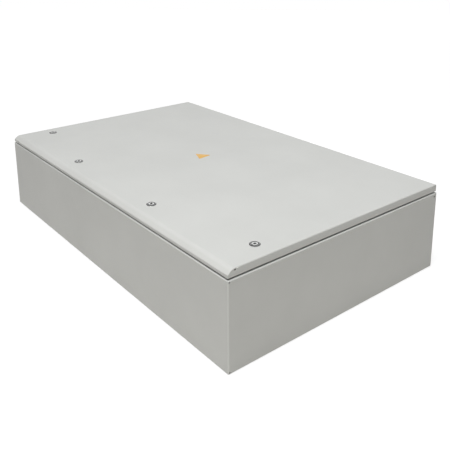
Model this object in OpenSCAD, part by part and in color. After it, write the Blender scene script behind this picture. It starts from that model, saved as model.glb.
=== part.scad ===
// Wall-mounted sheet-steel enclosure with a folded door, concealed hinges and four quarter-turn locks.
// It lies on its back: the origin is the centre of the back, +Z points out of the door,
// +X points to the end that hangs lowest on a wall and +Y points from the locks to the hinges.

/* [Case] */
// Height of the case as it hangs on a wall, along X
case_h = 1200; // [1000:10:1400]
// Width of the case, along Y
case_w = 750; // [640:10:900]
// Depth from the back to the face of the closed door, along Z
case_d = 250; // [200:5:350]
// Thickness of the case and door sheet
sheet = 1.5; // [1.2:0.1:1.8]
// Outside radius of the case's four upright corners
corner_r = 4; // [3.5:0.1:6]
// Outside radius of the folds along the back and along the rim
fold_r = 3; // [2.5:0.1:3.4]
// Diameter of the relief holes at the ends of the upright corners
relief_d = 4; // [3:0.1:4.4]
// Distance of the relief holes from the case's sides
relief_in = 4.4; // [4.2:0.1:5]
// Distance of the relief holes from the rim and from the back
relief_down = 4.4; // [4.2:0.1:5]
// Diameter of the hook holes in the case's end walls, on the hinge side
case_hook_d = 6; // [4:0.5:7]
// Distance of the case's hook holes from the hinge side
case_hook_in = 11; // [9:0.5:14]
// Distance of the case's hook holes below the rim
case_hook_down = 10; // [8:0.5:14]

/* [Rim] */
// Width of the rim from the case's side to the sealing lip
rim_w = 34; // [33:0.5:35]

/* [Wall fixing] */
// Diameter of the four wall-fixing holes
wall_hole_d = 10; // [7:0.5:12]
// Distance of the wall-fixing holes from the case's sides
wall_hole_in = 30; // [24:1:36]

/* [Door] */
// Height of the door's folded edges
door_d = 19.5; // [19:0.5:22]
// Gap between the rim and the door's folded edges
door_gap = 4; // [3.5:0.1:5]
// Distance that the door is set in from the case's sides
door_inset = 1.8; // [1:0.1:2]
// Distance that the door is set in from the case's ends
door_end_inset = 3; // [1.5:0.1:3.5]
// Outside radius of the door's plain folds
door_fold_r = 3; // [2.5:0.1:4]
// Outside radius of the round bend on the lock side
bevel_r = 22; // [18:0.5:24]
// Slope of the bevel on the lock side, from the door's face, in degrees
bevel_angle = 42; // [38:1:46]
// Height of the upright edge below the bevel
bevel_edge_h = 7.5; // [6:0.5:8.5]
// Diameter of the hook holes in the door's short edges
hook_hole_d = 5; // [4:0.1:5.4]
// Distance of the hook holes from the lock side
hook_hole_in = 22; // [21:0.5:25]
// Diameter of the relief holes in the door's corners on the hinge side
door_relief_d = 4.4; // [3.4:0.1:4.8]
// Distance of those relief holes from the hinge side
door_relief_in = 7.4; // [7:0.1:9]

/* [Door seal] */
// Width of the seal
seal_w = 12; // [10:0.5:12.5]
// Height of the seal
seal_h = 12; // [10:0.5:13]
// Radius of the seal's centre line at the corners
seal_corner_r = 12; // [10:0.5:15]

/* [Door ribs] */
// Thickness of the rib sheet
rib_sheet = 1.2; // [1:0.1:1.5]
// Height of a rib
rib_h = 14; // [10:1:18]
// Width of a rib's crown
rib_crown_w = 26; // [20:1:40]
// Width of a rib's feet
rib_foot_w = 13; // [10:1:20]
// Distance of a rib's ends from the case's ends
rib_end_in = 110; // [100:5:200]
// Distance between the two ribs
rib_pitch = 260; // [200:10:300]
// Diameter of the holes in a rib's crown
rib_hole_d = 5; // [4:0.5:7]
// Distance between the holes in a rib's crown
rib_hole_pitch = 25; // [20:1:50]

/* [Hinges] */
// Diameter of a hinge pin
pin_d = 6; // [5:0.1:6.2]
// Thickness of a hinge strap
strap_t = 2.5; // [2:0.1:2.8]
// Length of a strap's eye along the pin
strap_w = 40; // [30:1:60]
// Length of a strap's foot on the rim
strap_foot_l = 8; // [6:0.5:9]
// Distance of the pins from the case's side
pin_in = 9.8; // [9.4:0.1:10.2]
// Height of the pins above the rim
pin_up = 13.5; // [13.2:0.1:13.9]
// Distance of the end hinges from the case's ends
hinge_end_in = 180; // [150:5:300]
// Width of an ear on the door leaf
ear_w = 6; // [4:0.5:8]
// Thickness of the door leaf's plate
leaf_t = 2; // [1.5:0.1:2.2]
// Width of the door leaf's plate inward of the pin
leaf_w = 16; // [12:0.5:18]
// Diameter of a pin's head
pin_head_d = 9; // [8:0.1:10]
// Height of a pin's head
pin_head_h = 1.5; // [1:0.1:2]

/* [Locks] */
// Distance of the two end locks from the case's ends
lock_end_in = 55; // [54:1:70]
// Distance of the two end locks from the lock side
lock_corner_in = 122; // [100:1:130]
// Distance of the two side locks from the lock side
lock_side_in = 59; // [56:0.5:66]
// Distance of the two side locks from the case's ends
lock_side_end_in = 390; // [300:5:420]
// Diameter of a lock's round face
lock_face_d = 26.5; // [26:0.5:29]
// Height of a lock's round face
lock_face_h = 2; // [1.9:0.1:2.4]
// Height of the flange round the face
lock_flange_h = 1.2; // [1.1:0.1:1.5]
// Radius of the flange's edge
lock_face_r = 0.9; // [0.6:0.1:1]
// Diameter of the raised collar on the face
lock_collar_d = 22.4; // [21.5:0.1:23]
// Diameter of the threaded lock body
lock_body_d = 22; // [20.5:0.5:23]
// Width over the flats of the lock body
lock_flat_w = 20; // [18:0.5:20.5]
// Diameter of the recess in the face
lock_recess_d = 16; // [15.5:0.1:16.5]
// Depth of the recess in the face
lock_recess_h = 1.2; // [1:0.1:1.4]
// Thickness of the sealing ring under the face
lock_seal_t = 0.6; // [0.5:0.1:0.8]
// Width over the flats of the fixing nut
lock_nut_af = 26; // [25.5:0.1:26.5]
// Height of the fixing nut
lock_nut_h = 6; // [5:0.5:7]

/* [Lock barrels and cams] */
// Diameter of the barrel's round head
barrel_head_d = 12.6; // [12.2:0.1:13.2]
// Diameter of the barrel's shank
barrel_d = 11.4; // [11:0.1:12]
// Width of the square on which the cam sits
barrel_square_w = 7.5; // [7:0.1:7.7]
// Diameter of the key socket in the head
socket_d = 5.6; // [5:0.1:6.2]
// Depth of the key socket
socket_h = 8; // [5:0.5:10]
// Diameter of the post in the key socket
post_d = 2.8; // [2.4:0.1:3.2]
// Distance of the post's tip below the head
post_down = 2; // [1:0.1:3]
// Width of the key slot's wings
wing_w = 2.6; // [2.2:0.1:3]
// Length over the key slot's wings
wing_l = 9.6; // [8.5:0.1:10]
// Angle between the key slot and the cam, in degrees
wing_angle = 45; // [0:5:90]
// Thickness of a cam
cam_t = 3; // [2.5:0.1:4]
// Reach of a cam from the lock's axis
cam_l = 37; // [34:0.5:40]
// Diameter of a cam's hub
cam_hub_d = 19; // [17:0.5:21]
// Width of a cam's arm
cam_arm_w = 14; // [12:0.5:16]
// Distance of the cams below the rim
cam_down = 1; // [0.8:0.1:1.5]
// Diameter of the cam bolt
cam_bolt_d = 5; // [4:0.5:6]
// Length of the cam bolt below its head
cam_bolt_l = 16; // [14:1:17]
// Width over the flats of the cam bolt's head
cam_bolt_af = 8; // [7:0.5:10]
// Height of the cam bolt's head
cam_bolt_head_h = 3.5; // [3:0.5:4]
// Diameter of the cam bolt's collar
cam_collar_d = 13; // [12:0.5:16]
// Thickness of the cam bolt's collar
cam_collar_t = 1.2; // [1:0.1:1.5]

/* [Mounting plate] */
// Thickness of the mounting plate
plate_t = 2; // [1.5:0.1:3]
// Distance of the plate from the case's sides
plate_in = 50; // [46:1:60]
// Height of the plate's folded edges
plate_fold_h = 15; // [12:1:25]
// Outside radius of the plate's folds
plate_fold_r = 4; // [3.5:0.1:5]
// Distance of the studs from the plate's sides
plate_stud_in = 25; // [20:1:40]
// Diameter of the plate's studs
plate_stud_d = 8; // [6:1:10]
// Length of the studs above the plate
plate_stud_up = 18; // [16:1:24]
// Width over the flats of the plate's nuts
plate_nut_af = 13; // [13:0.5:16]
// Height of the plate's nuts
plate_nut_h = 6.5; // [5:0.5:8]
// Diameter of the plate's washers
plate_washer_d = 16; // [16:0.5:20]
// Thickness of the plate's washers
plate_washer_t = 1.6; // [1.2:0.1:2]

/* [Earth studs] */
// Diameter of the earth studs
earth_d = 6; // [5:1:8]
// Length of the earth studs
earth_l = 20; // [16:1:24]
// Width over the flats of the earth nuts
earth_nut_af = 10; // [10:0.5:13]
// Height of the earth nuts
earth_nut_h = 5; // [4:0.5:6]
// Diameter of the earth washers
earth_washer_d = 14; // [13:0.5:16]
// Thickness of the earth washers
earth_washer_t = 1.6; // [1.2:0.1:2]
// Distance of the earth studs from the case's lower end
earth_end_in = 130; // [110:5:200]
// Distance of the case earth stud from the lock side
case_earth_in = 26; // [20:1:32]
// Distance of the door earth stud from the hinge side
door_earth_in = 80; // [70:1:100]

/* [Hidden] */
$fn = 64;

// Room between pieces that turn in each other
run_gap = 0.05;
// Room between pieces that are pushed together
slip_gap = 0.1;
// Room between faces that pass each other
face_gap = 0.3;
// Overrun of every cut
over = 1;

// Height of the rim
rim_z = case_d - door_d - door_gap;
// Lower edge of the door's folded edges
door_z = case_d - door_d;
// Inner face of the door panel
door_in_z = case_d - sheet;
// Distance of the seal's and the lip's centre line from the case's sides
lip_in = rim_w + sheet / 2;
// Lower face of the seal
seal_z = door_in_z - seal_h;
// Top of the sealing lip
lip_z = seal_z - face_gap;

// Place of the hinge pins
pin_y = case_w / 2 - pin_in;
pin_z = rim_z + pin_up;
hinge_xs = [-(case_h / 2 - hinge_end_in), 0, case_h / 2 - hinge_end_in];
// Outside radius of a rolled eye
eye_r = pin_d / 2 + strap_t;
// Reach of the door's folded edge around the pin, and of the strap's upright past it
edge_sweep = norm([pin_in - door_inset, pin_z - door_z]);
strap_clear = 1.5;
strap_in = edge_sweep + strap_clear + strap_t;
// Length of a leaf over its two ears
leaf_l = strap_w + 2 * (ear_w + face_gap);

// Lock places and the direction in which each open cam points
lock_end_x = case_h / 2 - lock_end_in;
lock_side_x = case_h / 2 - lock_side_end_in;
lock_end_y = -(case_w / 2 - lock_corner_in);
lock_side_y = -(case_w / 2 - lock_side_in);
LOCKS = [
    [-lock_end_x, lock_end_y, 90],
    [-lock_side_x, lock_side_y, 0],
    [lock_side_x, lock_side_y, 180],
    [lock_end_x, lock_end_y, 90],
];
// Levels of a lock, from the cam up to the face
cam_z = rim_z - sheet - cam_down;
lock_foot_z = cam_z + face_gap;
lock_seat_z = case_d + lock_seal_t;
lock_top_z = lock_seat_z + lock_face_h;
lock_recess_z = lock_top_z - lock_recess_h;
barrel_head_z = lock_recess_z + face_gap;

// Mounting plate
plate_h = case_h - 2 * plate_in;
plate_w = case_w - 2 * plate_in;
plate_z = sheet + plate_fold_h;
plate_studs_x = plate_h / 2 - plate_stud_in;
plate_studs_y = plate_w / 2 - plate_stud_in;

// Earth stud places
case_earth = [case_h / 2 - earth_end_in, -(case_w / 2 - case_earth_in), sheet];
door_earth = [case_h / 2 - earth_end_in, case_w / 2 - door_earth_in, door_in_z];

// Colours
paint = "#d2d3ce";
zinc = "#b9bcbd";
chrome = "#c9cbcc";
steel = "#8f9294";
rubber = "#2b2c2d";

// Shared shapes

// A centred rectangle with round corners
module round_rect(x, y, r) {
    square([x - 2 * r, y], center = true);
    square([x, y - 2 * r], center = true);
    for (i = [-1, 1])
        for (j = [-1, 1])
            translate([i * (x / 2 - r), j * (y / 2 - r)])
                circle(r);
}

// Draws an outline in the YZ plane and runs it along X
module along_x(l) {
    rotate([90, 0, 90])
        linear_extrude(l, center = true)
            children();
}

// Draws an outline in the XZ plane and runs it along Y
module along_y(l) {
    rotate([90, 0, 0])
        linear_extrude(l, center = true)
            children();
}

// A block on z = 0 with round upright edges and round folds above and below
module folded_block(x, y, z, upright_r, r) {
    intersection() {
        linear_extrude(z)
            round_rect(x, y, upright_r);
        translate([0, 0, z / 2])
            along_x(x + 2 * over)
                round_rect(y, z, r);
        translate([0, 0, z / 2])
            along_y(y + 2 * over)
                round_rect(x, z, r);
    }
}

// A hexagon prism measured over its flats
module hexagon(af, h) {
    cylinder(r = af / 2 / cos(30), h = h, $fn = 6);
}

// A flat ring
module ring(outer_d, inner_d, h) {
    difference() {
        cylinder(d = outer_d, h = h);
        translate([0, 0, -over])
            cylinder(d = inner_d, h = h + 2 * over);
    }
}

// A plain hexagon nut on a stud
module hex_nut(af, h, d) {
    difference() {
        hexagon(af, h);
        translate([0, 0, -over])
            cylinder(d = d + 2 * slip_gap, h = h + 2 * over);
    }
}

// A pair of holes, one from each end of the case, h deep
module end_holes(d, y, z, h) {
    for (s = [0, 1])
        mirror([s, 0, 0])
            translate([case_h / 2 - h, y, z])
                rotate([0, 90, 0])
                    cylinder(d = d, h = h + over);
}

// Repeats its children at four mirrored corners
module at_corners(x, y) {
    for (i = [-1, 1])
        for (j = [-1, 1])
            translate([i * x, j * y, 0])
                children();
}

// Case

module case_shell() {
    lip_x = case_h - 2 * rim_w;
    lip_y = case_w - 2 * rim_w;
    mouth_x = lip_x - 2 * sheet;
    mouth_y = lip_y - 2 * sheet;
    color(paint)
        difference() {
            union() {
                difference() {
                    folded_block(case_h, case_w, rim_z, corner_r, fold_r);
                    translate([0, 0, sheet])
                        folded_block(case_h - 2 * sheet, case_w - 2 * sheet, rim_z - 2 * sheet,
                            corner_r - sheet, fold_r - sheet);
                }
                translate([0, 0, rim_z - sheet])
                    linear_extrude(lip_z - rim_z + sheet)
                        square([lip_x, lip_y], center = true);
            }
            translate([0, 0, rim_z - 2 * sheet])
                linear_extrude(lip_z - rim_z + 2 * sheet + over)
                    square([mouth_x, mouth_y], center = true);
            at_corners(case_h / 2 - wall_hole_in, case_w / 2 - wall_hole_in)
                translate([0, 0, -over])
                    cylinder(d = wall_hole_d, h = sheet + 2 * over);
            for (y = [-1, 1] * (case_w / 2 - relief_in))
                for (z = [relief_down, rim_z - relief_down])
                    end_holes(relief_d, y, z, 2 * sheet);
            end_holes(case_hook_d, case_w / 2 - case_hook_in, rim_z - case_hook_down, 2 * sheet);
        }
}

// Mounting plate and its fasteners

module mounting_plate() {
    fold_z = plate_fold_h + plate_t;
    color(zinc)
        translate([0, 0, sheet])
            difference() {
                along_x(plate_h)
                    difference() {
                        fold_outline(plate_w, fold_z, plate_fold_r);
                        translate([0, -over])
                            fold_outline(plate_w - 2 * plate_t, fold_z - plate_t + over,
                                plate_fold_r - plate_t);
                    }
                at_corners(plate_studs_x, plate_studs_y)
                    translate([0, 0, plate_fold_h - over])
                        cylinder(d = plate_stud_d + 2 * face_gap, h = plate_t + 2 * over);
            }
}

// An outline on z = 0 whose two upper corners are round
module fold_outline(w, h, r) {
    translate([-w / 2, 0])
        square([w, h - r]);
    translate([-w / 2 + r, 0])
        square([w - 2 * r, h]);
    for (i = [-1, 1])
        translate([i * (w / 2 - r), h - r])
            circle(r);
}

module plate_studs() {
    color(steel)
        at_corners(plate_studs_x, plate_studs_y)
            translate([0, 0, sheet])
                cylinder(d = plate_stud_d, h = plate_fold_h + plate_t + plate_stud_up);
}

module plate_washers() {
    color(zinc)
        at_corners(plate_studs_x, plate_studs_y)
            translate([0, 0, plate_z + plate_t])
                ring(plate_washer_d, plate_stud_d + 2 * slip_gap, plate_washer_t);
}

module plate_nuts() {
    color(zinc)
        at_corners(plate_studs_x, plate_studs_y)
            translate([0, 0, plate_z + plate_t + plate_washer_t])
                hex_nut(plate_nut_af, plate_nut_h, plate_stud_d);
}

// Earth studs, drawn standing on z = 0

module earth_stud() {
    color(steel)
        cylinder(d = earth_d, h = earth_l);
}

module earth_washer() {
    color(zinc)
        ring(earth_washer_d, earth_d + 2 * slip_gap, earth_washer_t);
}

module earth_nut() {
    color(zinc)
        translate([0, 0, earth_washer_t])
            hex_nut(earth_nut_af, earth_nut_h, earth_d);
}

// Puts a stud piece on the back of the case, or hangs it from the door
module on_case() {
    translate(case_earth)
        children();
}

module on_door() {
    translate(door_earth)
        mirror([0, 0, 1])
            children();
}

// Hinges, drawn about the pin at x = 0

module at_hinge(i) {
    translate([hinge_xs[i], pin_y, pin_z])
        children();
}

// A strap rolled round the pin, led inward past the sweep of the door's edge and down to the rim
module hinge_strap() {
    color(paint)
        along_x(strap_w)
            difference() {
                union() {
                    circle(eye_r);
                    translate([-strap_in, eye_r - strap_t])
                        square([strap_in, strap_t]);
                    translate([-strap_in, -pin_up])
                        square([strap_t, pin_up + eye_r]);
                    translate([-strap_in - strap_foot_l + strap_t, -pin_up])
                        square([strap_foot_l, strap_t]);
                }
                circle(pin_d / 2 + run_gap);
            }
}

module hinge_pin() {
    pin_l = leaf_l + 2 * face_gap;
    color(steel)
        rotate([0, 90, 0]) {
            translate([0, 0, -pin_l / 2])
                cylinder(d = pin_d, h = pin_l);
            for (s = [0, 1])
                mirror([0, 0, s])
                    translate([0, 0, pin_l / 2])
                        cylinder(d = pin_head_d, h = pin_head_h);
        }
}

// A plate on the inside of the door with one ear at each end of the strap's eye
module hinge_leaf() {
    door_up = door_in_z - pin_z;
    fold_out = pin_in - door_inset - door_fold_r;
    color(paint) {
        along_x(leaf_l)
            translate([-leaf_w, door_up - leaf_t])
                square([leaf_w + fold_out, leaf_t]);
        for (s = [-1, 1])
            translate([s * (leaf_l - ear_w) / 2, 0, 0])
                along_x(ear_w)
                    difference() {
                        union() {
                            circle(eye_r);
                            translate([-eye_r, 0])
                                square([eye_r + fold_out, door_up]);
                        }
                        circle(pin_d / 2 + run_gap);
                    }
    }
}

// Door

// Rounds a corner v of an outline between the points t and u, about the centre c
module round_off(t, v, u, c, r) {
    difference() {
        polygon([t, v + (v - c) / norm(v - c) * over, u, c]);
        translate(c)
            circle(r);
    }
}

// The door's section across its width, with its lower edge at -drop. The sheet's inner face has o = sheet.
module door_section(o, drop) {
    left = -case_w / 2 + door_inset + o;
    right = -left;
    top = door_d - o;
    bend_r = bevel_r - o;
    fold = door_fold_r - o;
    slope = [cos(bevel_angle), sin(bevel_angle)];
    slope_l = (door_d - bevel_edge_h - bevel_r * (1 - slope.x)) / slope.y;
    bend_x = left - o + slope_l * slope.x + bevel_r * slope.y;
    bend_c = [bend_x, top - bend_r];
    bend_t = bend_c + bend_r * [-slope.y, slope.x];
    bend_v = bend_t + bend_r * tan(bevel_angle / 2) * slope;
    fold_c = [right - fold, top - fold];
    difference() {
        polygon([
            [left, -drop],
            [left, bevel_edge_h - o * tan(45 - bevel_angle / 2)],
            bend_v,
            [right, top],
            [right, -drop],
        ]);
        round_off(bend_t, bend_v, [bend_x, top], bend_c, bend_r);
        round_off([fold_c.x, top], [right, top], [right, fold_c.y], fold_c, fold);
    }
}

module door_block(o, drop) {
    l = case_h - 2 * (door_end_inset + o);
    intersection() {
        along_x(l)
            door_section(o, drop);
        translate([0, 0, -drop])
            along_y(case_w)
                fold_outline(l, door_d - o + drop, door_fold_r - o);
    }
}

module lock_outline(gap) {
    intersection() {
        circle(d = lock_body_d + 2 * gap);
        square([lock_flat_w + 2 * gap, lock_body_d + 2 * gap], center = true);
    }
}

// A pair of holes through the door's short edges, close under the panel
module door_edge_holes(d, y) {
    end_holes(d, y, door_in_z - face_gap - d / 2, door_end_inset + door_fold_r + over);
}

module door_panel() {
    color(paint)
        difference() {
            translate([0, 0, door_z])
                difference() {
                    door_block(0, 0);
                    door_block(sheet, over);
                }
            for (p = LOCKS)
                translate([p.x, p.y, door_in_z - over])
                    linear_extrude(sheet + 2 * over)
                        lock_outline(slip_gap);
            door_edge_holes(hook_hole_d, -(case_w / 2 - hook_hole_in));
            door_edge_holes(door_relief_d, case_w / 2 - door_relief_in);
        }
}

// The seal's section, hung from y = 0
module seal_section() {
    translate([-seal_w / 2, -seal_h + seal_w / 2])
        square([seal_w, seal_h - seal_w / 2]);
    translate([0, -seal_h + seal_w / 2])
        circle(d = seal_w);
}

module door_seal() {
    x = case_h / 2 - lip_in;
    y = case_w / 2 - lip_in;
    color(rubber)
        translate([0, 0, door_in_z]) {
            for (s = [-1, 1]) {
                translate([0, s * y, 0])
                    along_x(2 * (x - seal_corner_r))
                        seal_section();
                translate([s * x, 0, 0])
                    along_y(2 * (y - seal_corner_r))
                        seal_section();
            }
            for (q = [0 : 3])
                translate([
                    (q == 0 || q == 3 ? 1 : -1) * (x - seal_corner_r),
                    (q < 2 ? 1 : -1) * (y - seal_corner_r), 0])
                    rotate([0, 0, q * 90])
                        rotate_extrude(angle = 90)
                            translate([seal_corner_r, 0])
                                seal_section();
        }
}

// A hat-section rib with a row of holes, hung from the door's inner face
module door_rib(side) {
    outer_w = rib_crown_w + 2 * rib_foot_w;
    rib_l = case_h - 2 * rib_end_in;
    last = floor((rib_l / 2 - rib_crown_w / 2) / rib_hole_pitch);
    color(paint)
        translate([0, side * rib_pitch / 2, door_in_z])
            difference() {
                along_x(rib_l)
                    difference() {
                        union() {
                            translate([-outer_w / 2, -rib_sheet])
                                square([outer_w, rib_sheet]);
                            translate([-rib_crown_w / 2, -rib_h])
                                square([rib_crown_w, rib_h]);
                        }
                        translate([-rib_crown_w / 2 + rib_sheet, -rib_h + rib_sheet])
                            square([rib_crown_w - 2 * rib_sheet, rib_h]);
                    }
                for (n = [-last : last])
                    translate([n * rib_hole_pitch, 0, -rib_h - over])
                        cylinder(d = rib_hole_d, h = rib_sheet + 2 * over);
            }
}

// Locks

module at_lock(i) {
    translate([LOCKS[i - 1].x, LOCKS[i - 1].y, 0])
        children();
}

module at_cam(i) {
    at_lock(i)
        rotate([0, 0, LOCKS[i - 1].z])
            children();
}

module lock_seals() {
    color(rubber)
        for (i = [1 : len(LOCKS)])
            at_lock(i)
                translate([0, 0, case_d])
                    ring(lock_face_d - 2 * lock_seal_t, lock_body_d + 2 * slip_gap, lock_seal_t);
}

// The round face, turned with a round-edged flange, a collar and a recess for the barrel's head
module lock_face() {
    rotate_extrude()
        difference() {
            union() {
                square([lock_face_d / 2, lock_flange_h - lock_face_r]);
                square([lock_face_d / 2 - lock_face_r, lock_flange_h]);
                translate([lock_face_d / 2 - lock_face_r, lock_flange_h - lock_face_r])
                    circle(lock_face_r);
                square([lock_collar_d / 2, lock_face_h]);
            }
            translate([-over, lock_face_h - lock_recess_h])
                square([lock_recess_d / 2 + over, lock_recess_h + over]);
            translate([0, -lock_face_h])
                square([lock_face_d, lock_face_h]);
        }
}

module lock_housing(i) {
    color(chrome)
        at_lock(i)
            difference() {
                union() {
                    translate([0, 0, lock_seat_z])
                        lock_face();
                    translate([0, 0, lock_foot_z])
                        linear_extrude(lock_seat_z - lock_foot_z + lock_face_h - lock_recess_h)
                            lock_outline(0);
                }
                translate([0, 0, lock_foot_z - over])
                    cylinder(d = barrel_d + 2 * run_gap, h = lock_top_z - lock_foot_z + 2 * over);
            }
}

module lock_nut(i) {
    color(zinc)
        at_cam(i)
            translate([0, 0, door_in_z - lock_nut_h])
                hex_nut(lock_nut_af, lock_nut_h, lock_body_d);
}

// The turning barrel: a head with a winged key socket, a shank and a square for the cam
module lock_barrel(i) {
    head_h = lock_top_z - barrel_head_z;
    shank_l = barrel_head_z - cam_z;
    bolt_hole_h = cam_bolt_l + slip_gap;
    color(chrome)
        at_cam(i)
            difference() {
                union() {
                    translate([0, 0, barrel_head_z])
                        cylinder(d = barrel_head_d, h = head_h);
                    translate([0, 0, cam_z])
                        cylinder(d = barrel_d, h = shank_l);
                    translate([0, 0, cam_z - cam_t + slip_gap])
                        linear_extrude(cam_t)
                            square(barrel_square_w, center = true);
                }
                difference() {
                    translate([0, 0, lock_top_z - socket_h])
                        linear_extrude(socket_h + over) {
                            circle(d = socket_d);
                            rotate(-wing_angle)
                                square([wing_l, wing_w], center = true);
                        }
                    translate([0, 0, lock_top_z - socket_h - over])
                        cylinder(d = post_d, h = socket_h + over - post_down);
                }
                translate([0, 0, cam_z - cam_t])
                    cylinder(d = cam_bolt_d + 2 * slip_gap, h = bolt_hole_h);
            }
}

module lock_cam(i) {
    color(zinc)
        at_cam(i)
            translate([0, 0, cam_z - cam_t])
                linear_extrude(cam_t)
                    difference() {
                        union() {
                            circle(d = cam_hub_d);
                            translate([0, -cam_arm_w / 2])
                                square([cam_l - cam_arm_w / 2, cam_arm_w]);
                            translate([cam_l - cam_arm_w / 2, 0])
                                circle(d = cam_arm_w);
                        }
                        square(barrel_square_w + 2 * slip_gap, center = true);
                    }
}

module lock_bolt(i) {
    color(steel)
        at_cam(i)
            translate([0, 0, cam_z - cam_t]) {
                cylinder(d = cam_bolt_d, h = cam_bolt_l);
                translate([0, 0, -cam_collar_t])
                    cylinder(d = cam_collar_d, h = cam_collar_t);
                translate([0, 0, -cam_collar_t - cam_bolt_head_h])
                    hexagon(cam_bolt_af, cam_bolt_head_h);
            }
}

// Every piece in its place

case_shell();
mounting_plate();
plate_studs();
plate_washers();
plate_nuts();
on_case() earth_stud();  // case_earth_stud
on_case() earth_washer();  // case_earth_washer
on_case() earth_nut();  // case_earth_nut

at_hinge(0) hinge_strap();  // hinge_top_strap
at_hinge(1) hinge_strap();  // hinge_middle_strap
at_hinge(2) hinge_strap();  // hinge_bottom_strap
at_hinge(0) hinge_pin();  // hinge_top_pin
at_hinge(1) hinge_pin();  // hinge_middle_pin
at_hinge(2) hinge_pin();  // hinge_bottom_pin
at_hinge(0) hinge_leaf();  // hinge_top_leaf
at_hinge(1) hinge_leaf();  // hinge_middle_leaf
at_hinge(2) hinge_leaf();  // hinge_bottom_leaf

door_panel();
door_seal();
door_rib(-1);  // door_rib_lock_side
door_rib(1);  // door_rib_hinge_side
on_door() earth_stud();  // door_earth_stud
on_door() earth_washer();  // door_earth_washer
on_door() earth_nut();  // door_earth_nut
lock_seals();

lock_housing(1);  // lock_1_housing
lock_nut(1);  // lock_1_nut
lock_barrel(1);  // lock_1_barrel
lock_cam(1);  // lock_1_cam
lock_bolt(1);  // lock_1_bolt
lock_housing(2);  // lock_2_housing
lock_nut(2);  // lock_2_nut
lock_barrel(2);  // lock_2_barrel
lock_cam(2);  // lock_2_cam
lock_bolt(2);  // lock_2_bolt
lock_housing(3);  // lock_3_housing
lock_nut(3);  // lock_3_nut
lock_barrel(3);  // lock_3_barrel
lock_cam(3);  // lock_3_cam
lock_bolt(3);  // lock_3_bolt
lock_housing(4);  // lock_4_housing
lock_nut(4);  // lock_4_nut
lock_barrel(4);  // lock_4_barrel
lock_cam(4);  // lock_4_cam
lock_bolt(4);  // lock_4_bolt
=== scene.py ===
"""Looks, light and camera of a wall-mounted sheet-steel enclosure that lies on its back.

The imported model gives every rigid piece. This script paints and plates those pieces, adds the
sticker and the weld marks, models the foam seal, the threaded studs and the nuts in place of
plain ones, and sets up the studio and the camera.
"""

from __future__ import annotations

import logging
import math
from dataclasses import dataclass
from enum import Enum
from typing import Callable, Iterable, Protocol

import bmesh
import bpy
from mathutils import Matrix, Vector


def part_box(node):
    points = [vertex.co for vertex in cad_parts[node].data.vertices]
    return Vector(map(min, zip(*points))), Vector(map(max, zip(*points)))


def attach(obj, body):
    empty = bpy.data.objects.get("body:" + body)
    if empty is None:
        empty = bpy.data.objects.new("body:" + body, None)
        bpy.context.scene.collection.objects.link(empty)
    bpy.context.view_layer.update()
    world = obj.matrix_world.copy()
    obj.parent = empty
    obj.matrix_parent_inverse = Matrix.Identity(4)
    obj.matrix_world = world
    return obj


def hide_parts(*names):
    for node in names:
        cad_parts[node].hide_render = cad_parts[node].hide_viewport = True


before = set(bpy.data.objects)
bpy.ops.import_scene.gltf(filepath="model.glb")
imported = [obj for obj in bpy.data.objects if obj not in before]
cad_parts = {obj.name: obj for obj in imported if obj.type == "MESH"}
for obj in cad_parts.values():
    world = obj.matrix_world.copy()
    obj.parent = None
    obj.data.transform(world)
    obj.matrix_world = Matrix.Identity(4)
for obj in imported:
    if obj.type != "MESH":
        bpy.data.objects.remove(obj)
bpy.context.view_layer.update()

log = logging.getLogger("enclosure")

MM = 0.001
MERGE_DISTANCE = 0.002 * MM
SMOOTH_ANGLE = math.radians(35)
FLAT_NORMAL = 0.9
NOISE_LOW, NOISE_HIGH = 0.3, 0.7
NOISE_ROUGHNESS = 0.55
WARM_WHITE = (1.0, 0.99, 0.955)
LOCKS = ("lock_1", "lock_2", "lock_3", "lock_4")
RIBS = ("door_rib_lock_side", "door_rib_hinge_side")

Colour = tuple[float, float, float, float]
Axis = tuple[float, float]
Place = tuple[float, float, float]
Span = tuple[float, float]
Piece = bpy.types.Object
Socket = bpy.types.NodeSocket


class Body(Enum):
    """The bodies that pieces ride on."""

    CASE = "case"
    DOOR = "door"


class Slot(Enum):
    """The record's material slots."""

    PAINT = "paint"
    ZINC = "zinc"
    STEEL = "steel"
    CHROME = "lock_chrome"
    RUBBER = "rubber"


class Facing(Enum):
    """The way in which a stud stands: off the back of the case, or off the inside of the door."""

    UP = 1
    DOWN = -1


class Element(Enum):
    """What a pick selects in a mesh."""

    EDGE = "EDGE"
    FACE = "FACE"


def srgb(red: int, green: int, blue: int) -> Colour:
    """Turns a colour as it looks on screen into the linear colour that a shader takes.

    Args:
        red: Red, 0 to 255.
        green: Green, 0 to 255.
        blue: Blue, 0 to 255.

    Returns:
        The linear colour, opaque.
    """

    def channel(value: int) -> float:
        """Undoes the screen curve of one channel."""
        v = value / 255
        return v / 12.92 if v <= 0.04045 else ((v + 0.055) / 1.055) ** 2.4

    return channel(red), channel(green), channel(blue), 1.0


def corner_axes(node: str, radius: float) -> list[Axis]:
    """Reads where a node's four round pieces stand from its box.

    Args:
        node: A node of four pieces at mirrored corners.
        radius: The pieces' radius.

    Returns:
        The pieces' axes, in X and Y.
    """
    low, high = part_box(node)
    columns = (low.x + radius, high.x - radius)
    rows = (low.y + radius, high.y - radius)
    return [(x, y) for x in columns for y in rows]


def axis_of(node: str) -> Axis:
    """Reads where a single piece stands from its node's box.

    Args:
        node: A node of one piece, even about its axis.

    Returns:
        The piece's axis, in X and Y.
    """
    low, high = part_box(node)
    return (low.x + high.x) / 2, (low.y + high.y) / 2


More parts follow.
